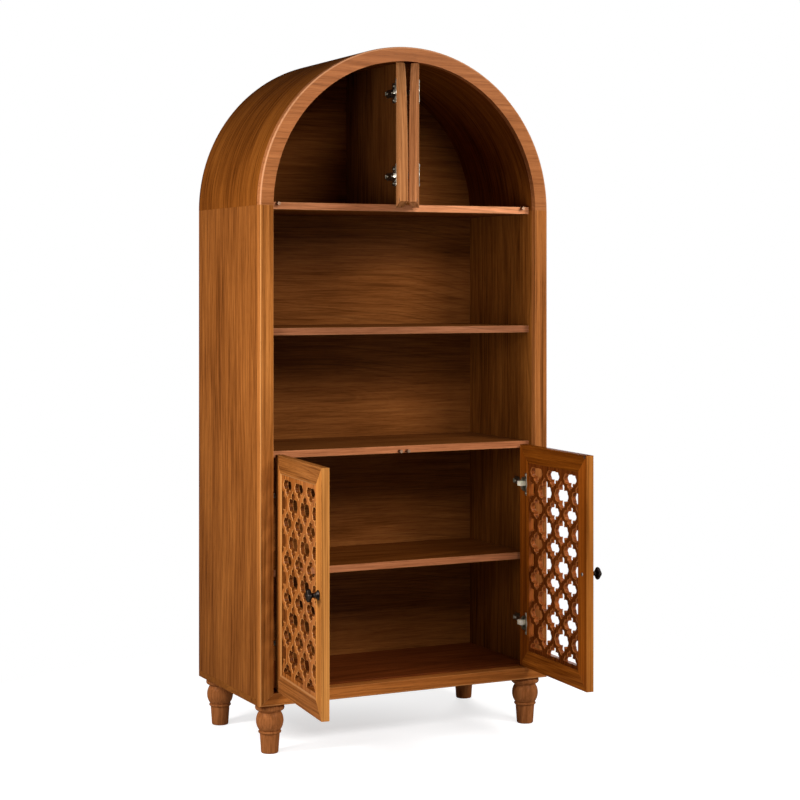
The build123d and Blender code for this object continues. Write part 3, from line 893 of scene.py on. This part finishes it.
def shape_ring(obj, lobes, middles, grow, height):
    """Draws the ring of edges at this height out to the outline of the eye."""
    for step in range(EYE_SIDES // 4 + 1):
        turn = 2 * math.pi * step / EYE_SIDES

        def on_ray(vertex):
            x, y, z = vertex.co
            return abs(y - height) < WELD and abs(math.atan2(abs(z), abs(x)) - turn) < 1e-3

        now = [math.hypot(v.co.x, v.co.z) for v in obj.data.vertices if on_ray(v)][-1]
        scale = eye_reach(lobes, middles, turn, grow) / now
        pick(obj, "VERT", on_ray)
        bpy.ops.transform.resize(value=(scale, 1, scale), center_override=(0, 0, 0))
        stop_editing()


def eye_cutter(name, lobes, middles, carving):
    """The cutter of one pierced eye: lobes ringed round a wide middle, flared at both faces."""
    over = 0.0006
    end = carving.thickness / 2 + over
    straight = carving.thickness / 2 - carving.chamfer
    eye = apply_place(added(name, bpy.ops.mesh.primitive_circle_add, vertices=EYE_SIDES,
                            radius=0.02, fill_type="NGON", location=(0, -end, 0),
                            rotation=(math.pi / 2, 0, 0)))
    pick_all(eye)
    for depth in (end - straight, 2 * straight, end - straight):
        bpy.ops.mesh.extrude_region_move(TRANSFORM_OT_translate={"value": (0, depth, 0)})
    stop_editing()
    grow = carving.chamfer + over
    for height, wider in ((-end, grow), (-straight, 0.0), (straight, 0.0), (end, grow)):
        shape_ring(eye, lobes, middles, wider, height)
    return faces_outwards(eye)


def bisected(obj, point):
    """Cuts off what lies beyond a point, seen from the origin, and closes the cut."""
    pick_all(obj)
    bpy.ops.mesh.bisect(plane_co=point, plane_no=Vector(point).normalized(), use_fill=True,
                        clear_outer=True)
    stop_editing()


def pierced_board(carving, width, height):
    """One pierced board, centred on the origin."""
    large = eye_cutter("large_eye", LARGE_LOBES, LARGE_MIDDLE, carving)
    small = eye_cutter("small_eye", SMALL_LOBES, SMALL_MIDDLE, carving)
    column = width / carving.columns
    row = height / carving.rows
    cutters = []
    for eye, columns, rows in ((large, (-1.5, -0.5, 0.5, 1.5), (-2, -1, 0, 1, 2)),
                               (small, (-1, 0, 1), (-2.5, -1.5, -0.5, 0.5, 1.5, 2.5))):
        for along in columns:
            for up in rows:
                place = (along * column - carving.drop / 2, 0, up * row - carving.drop)
                cutters.append(placed(copy_of(eye, "eye"), place))
        bpy.data.objects.remove(eye)
    openings = joined(cutters)
    # The openings stop just short of the frame's stiles, and at the plain strips
    side = width / 2 - 0.0004
    end = height / 2 - carving.border
    for point in ((side, 0, 0), (-side, 0, 0), (0, 0, end), (0, 0, -end)):
        bisected(openings, point)
    half = (width / 2 + carving.tongue, carving.thickness / 2, height / 2 + carving.tongue)
    board = bar("pierced_board", [-c for c in half], half)
    return smooth(cut_with(board, openings), 32)


class CABINET_OT_carving(bpy.types.Operator):
    """Carves the pierced lattice boards of the lower doors"""

    bl_idname = "cabinet.carving"
    bl_label = "Pierced carving"

    def execute(self, context):
        carving, doors = settings("cabinet_carving"), settings("cabinet_doors")
        width = doors.lower_width - 2 * doors.member
        height = doors.lower_top - doors.lower_bottom - 2 * doors.member
        board = placed(pierced_board(carving, width, height),
                       (doors.lower_width / 2 - doors.pin_inset,
                        carving.setback + carving.thickness / 2 - doors.pin_depth,
                        (doors.lower_top + doors.lower_bottom) / 2))
        for number, door in enumerate(LOWER_DOORS):
            carved = smooth(hang(copy_of(board, door + "_carving"), door), 32)
            turn = upright(opened_by(door))
            low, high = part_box(door + "_lattice_panel")
            place = cut_from_log(turn, (low + high) / 2, 0.2 + 1.1 * number, 0.03, 0.06)
            # Each door's painted shade and painted highlights go into its carving's finish
            finish = walnut(door + "_carved_walnut", toned(stain("carving"), CARVING_TONES_AND_SHADE[door]),
                            0.8, turn=turn, place=place, contrast=1.7, gloss=0.30, varnish=0.06,
                            lines=0.30, lean=0.56, edges=CARVING_WALL_SHADE_AND_HIGHLIGHT[door],
                            paleness=CARVING_ARRIS_HIGHLIGHTS[door])
            finish_piece(carved, door + "_carving", door + "_door", "carved_wood", finish,
                         door + "_lattice_panel")
        bpy.data.objects.remove(board)
        return {"FINISHED"}


# ------------------------------------------------------------------ turned feet
class CABINET_OT_feet(bpy.types.Operator):
    """Turns the four feet"""

    bl_idname = "cabinet.feet"
    bl_label = "Turned feet"

    def execute(self, context):
        profile = [(0.0, 0.0), (0.0195, 0.0), (0.0207, 0.0010), (0.0212, 0.0030),
                   (0.0243, 0.0468), (0.0240, 0.0484)]
        # Toe ring, vase, cove and collar
        profile += arc_through((0.0240, 0.0484), (0.0281, 0.0513), (0.0256, 0.0541), 8)
        profile += [(0.0252, 0.0546)]
        profile += arc_through((0.0252, 0.0546), (0.0335, 0.0790), (0.0277, 0.0985), 22)
        profile += [(0.0274, 0.0990)]
        profile += arc_through((0.0274, 0.0990), (0.0281, 0.1021), (0.0318, 0.1036), 6)
        profile += arc_through((0.0318, 0.1036), (0.0358, 0.1107), (0.0330, 0.1165), 12)
        profile += [(0.0322, 0.1171), (0.0326, 0.1176), (0.0328, 0.1200),
                    (0.0119, 0.1200), (0.0119, 0.1339), (0.0, 0.1339)]
        pattern = turned("foot", profile, 64)
        finish = walnut("foot_walnut", stain("foot"), 0.7, turn=upright(),
                        place=(0.3, 0.02, 0.04), gloss=0.30, highlight_and_wear=0.0)
        for node in ("foot_front_left", "foot_back_left", "foot_front_right", "foot_back_right"):
            low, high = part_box(node)
            foot = placed(copy_of(pattern, node + "_turning"),
                          ((low.x + high.x) / 2, (low.y + high.y) / 2, 0))
            finish_piece(smooth(foot, 38), node + "_turning", "carcass", "turned_wood", finish,
                         node)
        bpy.data.objects.remove(pattern)
        return {"FINISHED"}


# ------------------------------------------------------------------ knobs
def cast_knob(knobs):
    """A fluted head on a waisted stem, standing up from the origin."""
    head, base, length = knobs.head_radius, knobs.base_radius, knobs.length
    profile = [(0.0, 0.0), (base * 0.96, 0.0), (base, 0.0008), (base * 0.97, 0.0026),
               (base * 0.72, 0.0042), (base * 0.50, 0.0070), (base * 0.42, 0.0105),
               (base * 0.44, 0.0140), (base * 0.60, 0.0165), (head * 0.80, 0.0182),
               (head * 0.98, 0.0205), (head, 0.0232), (head * 0.94, 0.0262),
               (head * 0.74, 0.0288), (head * 0.50, length - 0.0004),
               (head * 0.40, length - 0.0014), (head * 0.26, length - 0.0019),
               (head * 0.16, length - 0.0009), (0.0, length - 0.0004)]
    knob = turned("knob", profile, 24)
    # The head is drawn in between its four points
    for turn, share in ((45, 1.0), (30, 0.75), (60, 0.75), (15, 0.25), (75, 0.25)):
        def on_head(vertex):
            x, y, z = vertex.co
            angle = math.degrees(math.atan2(abs(y), abs(x)))
            return z > 0.0160 and math.hypot(x, y) > 1e-4 and abs(angle - turn) < 2

        pick(knob, "VERT", on_head)
        press = 1 - knobs.lobe * share
        bpy.ops.transform.resize(value=(press, press, 1), center_override=(0, 0, 0))
        stop_editing()
    return with_modifier(knob, "SUBSURF", levels=2, render_levels=2)


def cross_screw(name, head_radius, rise):
    """A pan-head screw with a cross recess, standing up from the origin."""
    profile = [(0.0, -0.0006), (head_radius, -0.0006), (head_radius, rise * 0.25)]
    profile += arc_through((head_radius, rise * 0.25), (head_radius * 0.80, rise * 0.78),
                           (head_radius * 0.35, rise), 5)
    profile += [(0.0, rise * 1.02)]
    screw = turned(name, profile, 20)
    reach, slot = head_radius * 0.52, head_radius * 0.11
    for x, y in ((reach, slot), (slot, reach)):
        cut_with(screw, bar("recess", (-x, -y, rise * 0.35), (x, y, rise * 2)))
    return smooth(screw, 30)


class CABINET_OT_knobs(bpy.types.Operator):
    """Casts the bronze knobs and their screws"""

    bl_idname = "cabinet.knobs"
    bl_label = "Knobs"

    def execute(self, context):
        knobs, doors = settings("cabinet_knobs"), settings("cabinet_doors")
        bronze = finish_named("knob_bronze_patina",
                              lambda n: metal(n, stain("bronze"), 0.34, paleness=0.55, scale=420.0))
        across = doors.lower_width - doors.pin_inset - doors.member / 2
        rear = doors.thickness - doors.pin_depth
        for door in LOWER_DOORS:
            knob = placed(cast_knob(knobs), (across, -doors.pin_depth, knobs.height),
                          (math.pi / 2, 0, 0))
            finish_piece(smooth(hang(knob, door), 60), door + "_cast_knob", door + "_door",
                         "knob_bronze", bronze, door + "_knob")
            screw = laid_back(cross_screw("knob_screw", 0.0045, 0.0018), across, rear,
                              knobs.height)
            shank = rod("shank", 0.00195, (across, rear - 0.0390, knobs.height),
                        (across, rear + 0.0001, knobs.height), 20)
            screw = hang(joined([screw, smooth(shank)]), door)
            finish_piece(screw, door + "_knob_screw_head", door + "_door", "screw_steel",
                         dark_steel(), door + "_knob_screw")
        return {"FINISHED"}


# ------------------------------------------------------------------ hinges
def narrow_ends(obj, scale, middle):
    """Draws the top and bottom ends in towards a point."""
    pick(obj, "FACE", lambda face: abs(face.normal.z) > 0.9)
    bpy.ops.transform.resize(value=scale, center_override=middle)
    stop_editing()


def pressed_cup(hinges, doors):
    """Cup with its flange and two screws, drawn with the hinge pin at the origin."""
    radius, sheet = hinges.cup_radius, hinges.sheet
    rear = doors.thickness - doors.pin_depth
    x = hinges.cup_inset - doors.pin_inset
    floor = -hinges.cup_depth
    profile = [(0.0, floor), (radius - 0.002, floor), (radius - 0.0005, floor + 0.0006),
               (radius - 0.00005, floor + 0.0022), (radius - 0.00005, 0.0), (0.0184, 0.0),
               (0.0189, 0.0005), (0.0186, 0.0011), (radius - 0.0002, 0.0012),
               (radius - 0.0012, 0.0006), (radius - sheet, -0.0006),
               (radius - sheet, floor + 0.0018), (radius - 0.0018, floor + sheet),
               (0.0, floor + sheet)]
    cup = laid_back(turned("cup", profile, 44), x, rear, 0)
    # The arm passes through a slot in the wall of the cup
    cut_with(cup, bar("slot", (-doors.pin_inset - 0.002, -doors.pin_depth + 0.0026, -0.0065),
                      (0.005, rear + 0.003, 0.0065)))
    flange_x = 0.0334 - doors.pin_inset
    flange = bar("flange", (flange_x - 0.0065, rear + 0.00005, -0.0285),
                 (flange_x + 0.0065, rear + sheet, 0.0285))
    narrow_ends(flange, (0.66, 1, 1), (flange_x + 0.001, rear, 0))
    hole = rod("hole", radius - sheet, (x, rear - 0.002, 0), (x, rear + 0.004, 0), 44)
    pieces = [smooth(cup, 40), eased(cut_with(flange, hole), 0.0004)]
    for side in (-1, 1):
        screw = cross_screw("flange_screw", 0.0034, 0.0009)
        pieces.append(laid_back(screw, flange_x, rear + sheet, side * 0.0235))
    # Cheeks on both sides of the arm carry the pin
    for side in (-1, 1):
        middle = side * 0.0082
        cheek = bar("cheek", (-0.0045, -0.004, middle - 0.0015), (0.0045, 0.005, middle + 0.0015))
        cut_with(cheek, upright_rod("eye", 0.0020, 0.03))
        pieces.append(eased(cheek, 0.0004))
    return joined(pieces)


def swan_arm(hinges, wall):
    """Arm, winged plate and screws on the cabinet, with the hinge pin at the origin."""
    plate_face = wall + 0.0025
    arm_face = plate_face + 0.0078
    foot = wall + 0.0070
    arm = band("arm", (((0.00226, -0.00106), (-0.00226, 0.00106)),
                       ((0.01160, 0.01888), (0.00620, 0.01912)),
                       ((0.00775, 0.0295), (0.00425, 0.0245)),
                       ((foot, 0.0295), (foot, 0.0245))), 0.0055)
    body = bar("arm_body", (plate_face, 0.0245, -0.006), (plate_face + 0.009, 0.088, 0.006))
    for part in (body, upright_rod("arm_eye", 0.004, 0.0108)):
        cut_with(arm, part, "UNION")
    cut_with(arm, upright_rod("arm_bore", 0.00205, 0.03))
    # Channel pressed along the back of the arm
    cut_with(arm, bar("channel", (arm_face, 0.034, -0.0042), (plate_face + 0.012, 0.084, 0.0042)))
    eased(arm, 0.0005, 40)
    plate = bar("plate", (wall, 0.042, -0.010), (plate_face, 0.096, 0.010))
    wings = bar("wings", (wall, 0.046, -hinges.wing_half), (plate_face, 0.066, hinges.wing_half))
    narrow_ends(wings, (1, 0.78, 1), (wall, 0.056, 0))
    cut_with(plate, wings, "UNION")
    pieces = [arm, eased(plate, 0.0005, 40)]
    for x, y, z, size in ((plate_face, 0.056, 0.018, 0.0040), (plate_face, 0.056, -0.018, 0.0040),
                          (arm_face, 0.050, 0, 0.0030), (arm_face, 0.078, 0, 0.0034)):
        screw = cross_screw("plate_screw", size, 0.0020)
        pieces.append(placed(screw, (x, y, z), (0, math.pi / 2, 0)))
    return joined(pieces)


def damper_block():
    """Moulded damper on the neck of the arm."""
    stations = (((0.01917, 0.0024), (0.00389, 0.0024)), ((0.01917, 0.0175), (0.01096, 0.0175)))
    block = band("damper", stations, 0.006)
    for name, near in (("seam", 0.0058), ("foot_seam", 0.0142)):
        cut_with(block, bar(name, (0.0186, near, -0.01), (0.0250, near + 0.0005, 0.01)))
    return eased(block, 0.0007, 40)


# From a lower door's hinge edge to the side that it hangs on, from an upper leaf's hinge edge
# to the middle of the divider, and half the divider's thickness
SIDE_GAP, LEAF_GAP, DIVIDER_HALF = 0.003, 0.0015, 0.009


class CABINET_OT_hinges(bpy.types.Operator):
    """Builds the concealed hinges with their screws and dampers"""

    bl_idname = "cabinet.hinges"
    bl_label = "Hinges"

    def execute(self, context):
        hinges, doors = settings("cabinet_hinges"), settings("cabinet_doors")
        cup = pressed_cup(hinges, doors)
        cream = finish_named("cream_damper", lambda n: moulded_plastic(n, stain("cream")))
        for door in DOORS:
            lower = door in LOWER_DOORS
            wall = (-(doors.pin_inset + SIDE_GAP) if lower else
                    DIVIDER_HALF - (LEAF_GAP + doors.pin_inset))
            cups, arms, dampers = [], [], []
            for height in hinge_heights(door):
                place = (0, 0, height)
                cups.append(placed(copy_of(cup, "cup"), place))
                arms.append(placed(swan_arm(hinges, wall), place))
                if lower:
                    dampers.append(placed(damper_block(), place))
            finish_piece(hang(joined(cups), door), door + "_pressed_cups", door + "_door",
                         "hinge_steel", steel(), door + "_hinge_cups")
            finish_piece(set_on_side(joined(arms), door), door + "_swan_arms", "carcass",
                         "hinge_steel", steel(), door + "_hinge_arms")
            if lower:
                finish_piece(set_on_side(joined(dampers), door), door + "_dampers", "carcass",
                             "cream_plastic", cream, door + "_hinge_dampers")
        bpy.data.objects.remove(cup)
        return {"FINISHED"}


# ------------------------------------------------------------------ small fittings
class CABINET_OT_fittings(bpy.types.Operator):
    """Finishes the catches, strikes and pins"""

    bl_idname = "cabinet.fittings"
    bl_label = "Catches and pins"

    def execute(self, context):
        brown = finish_named("brown_catches", lambda n: metal(n, (0.20, 0.12, 0.075), 0.42))
        finishes = {"_hinge_pins": steel(), "magnet_catches": brown, "_strike": brown,
                    "inner_shelf_pins": dark_steel()}
        for name, node in NODES.items():
            for ending, paint in finishes.items():
                if name.endswith(ending):
                    for slot in node.material_slots:
                        slot.material = paint
        return {"FINISHED"}


# ------------------------------------------------------------------ stage
def area_lamp(name, place, target, width, height, power):
    lamp = added(name, bpy.ops.object.light_add, type="AREA", location=place)
    lamp.data.shape = "RECTANGLE"
    lamp.data.size, lamp.data.size_y = width, height
    lamp.data.energy = power
    lamp.rotation_euler = (Vector(target) - Vector(place)).to_track_quat("-Z", "Y").to_euler()


def studio_floor_finish():
    """Pale floor that glows up to white and keeps the shadow."""
    r = Recipe("studio_floor")
    r.tree.nodes.remove(r.shader)
    diffuse = r.add("ShaderNodeBsdfDiffuse", {"Color": (0.60, 0.60, 0.60, 1)}).outputs[0]
    # The glow is dimmed in a disc under the cabinet as a painted shadow, where the light of the
    # room doesn't reach
    shade = r.add("ShaderNodeVectorMath", {0: r.where, 1: (-0.15, 0.10, 0.0)},
                  operation="DISTANCE")
    glow = r.glow("ShaderNodeEmission", r.spread(shade.outputs["Value"], 0.56, 0.71, 0.10, 0.48,
                                                 interpolation_type="SMOOTHSTEP"))
    lit = r.add("ShaderNodeAddShader", {0: diffuse, 1: glow}).outputs[0]
    away = r.add("ShaderNodeVectorMath", {0: r.where}, operation="LENGTH")
    far = r.spread(away.outputs["Value"], 0.0, 1.0, 0.60, 1.3)
    near = r.blend(far, lit, r.glow("ShaderNodeEmission", 1.0))
    r.feed(r.tree.nodes["Material Output"],
           {"Surface": r.blend(r.seen_directly(), diffuse, near)})
    return r.material


def studio_world(strength):
    """White behind everything that is seen, and a soft room light."""
    world = bpy.data.worlds.new("studio")
    bpy.context.scene.world = world
    world.use_nodes = True
    world.node_tree.nodes.clear()
    sky = Nodes(world.node_tree)
    light = sky.blend(sky.seen_directly(), sky.glow("ShaderNodeBackground", strength),
                      sky.glow("ShaderNodeBackground", 1.0))
    sky.add("ShaderNodeOutputWorld", {"Surface": light})


class CABINET_OT_stage(bpy.types.Operator):
    """Sets up the floor, the lamps and the camera"""

    bl_idname = "cabinet.stage"
    bl_label = "Stage"

    def execute(self, context):
        stage = settings("cabinet_stage")
        floor = added("studio_floor", bpy.ops.mesh.primitive_plane_add, size=60,
                      location=(0, 0, 0))
        floor.data.materials.append(studio_floor_finish())
        # name, place, target, width, height, power
        for lamp in (
                ("front_lamp", (0.0, -3.6, 2.8), (0.0, 0.0, 1.0), 1.4, 1.0, stage.front_power),
                ("right_lamp", (1.3, -2.6, 2.2), (0.0, 0.0, 1.0), 1.0, 1.0, stage.right_power),
                ("left_lamp", (-1.5, -0.9, 1.1), (-0.4, 0.05, 0.9), 0.5, 0.8, stage.left_power),
                ("side_lamp", (-1.7, -0.11, 1.12), (-0.4, -0.11, 1.0), 0.25, 0.6,
                 stage.side_power),
                ("back_lamp", (1.6, 3.0, 1.1), (0.0, 0.3, 0.9), 1.4, 1.2, stage.back_power)):
            area_lamp(*lamp)
        studio_world(stage.room_light)
        bpy.ops.object.camera_add(location=stage.camera_place,
                                  rotation=(math.pi / 2, 0, stage.camera_turn))
        camera = context.object
        camera.data.lens = stage.lens
        camera.data.sensor_width = 36.0
        camera.data.shift_y = stage.shift
        context.scene.camera = camera
        context.scene.view_settings.view_transform = "Standard"
        return {"FINISHED"}


# ------------------------------------------------------------------ panel and start
STEPS = (CABINET_OT_boards, CABINET_OT_carving, CABINET_OT_feet, CABINET_OT_knobs,
         CABINET_OT_hinges, CABINET_OT_fittings, CABINET_OT_stage)
GROUPS = {"cabinet_stains": CabinetStains, "cabinet_doors": DoorSizes,
          "cabinet_carving": CarvingSizes, "cabinet_knobs": KnobSizes,
          "cabinet_hinges": HingeSizes, "cabinet_stage": StageSettings}


class CABINET_PT_panel(bpy.types.Panel):
    """Lists the steps and the sizes of the cabinet"""

    bl_idname = "CABINET_PT_panel"
    bl_label = "Arched cabinet"
    bl_space_type = "VIEW_3D"
    bl_region_type = "UI"
    bl_category = "Cabinet"

    def draw(self, context):
        for step in STEPS:
            self.layout.operator(step.bl_idname)
        for name, group in GROUPS.items():
            box = self.layout.box()
            for prop in group.__annotations__:
                box.prop(getattr(context.scene, name), prop)


def register():
    for name, group in GROUPS.items():
        bpy.utils.register_class(group)
        setattr(bpy.types.Scene, name, bpy.props.PointerProperty(type=group))
    for item in STEPS + (CABINET_PT_panel,):
        bpy.utils.register_class(item)


def unregister():
    for item in reversed(STEPS + (CABINET_PT_panel,)):
        bpy.utils.unregister_class(item)
    for name, group in GROUPS.items():
        delattr(bpy.types.Scene, name)
        bpy.utils.unregister_class(group)


def main():
    register()
    for step in STEPS:
        kind, name = step.bl_idname.split(".")
        getattr(getattr(bpy.ops, kind), name)()


if __name__ == "__main__":
    main()
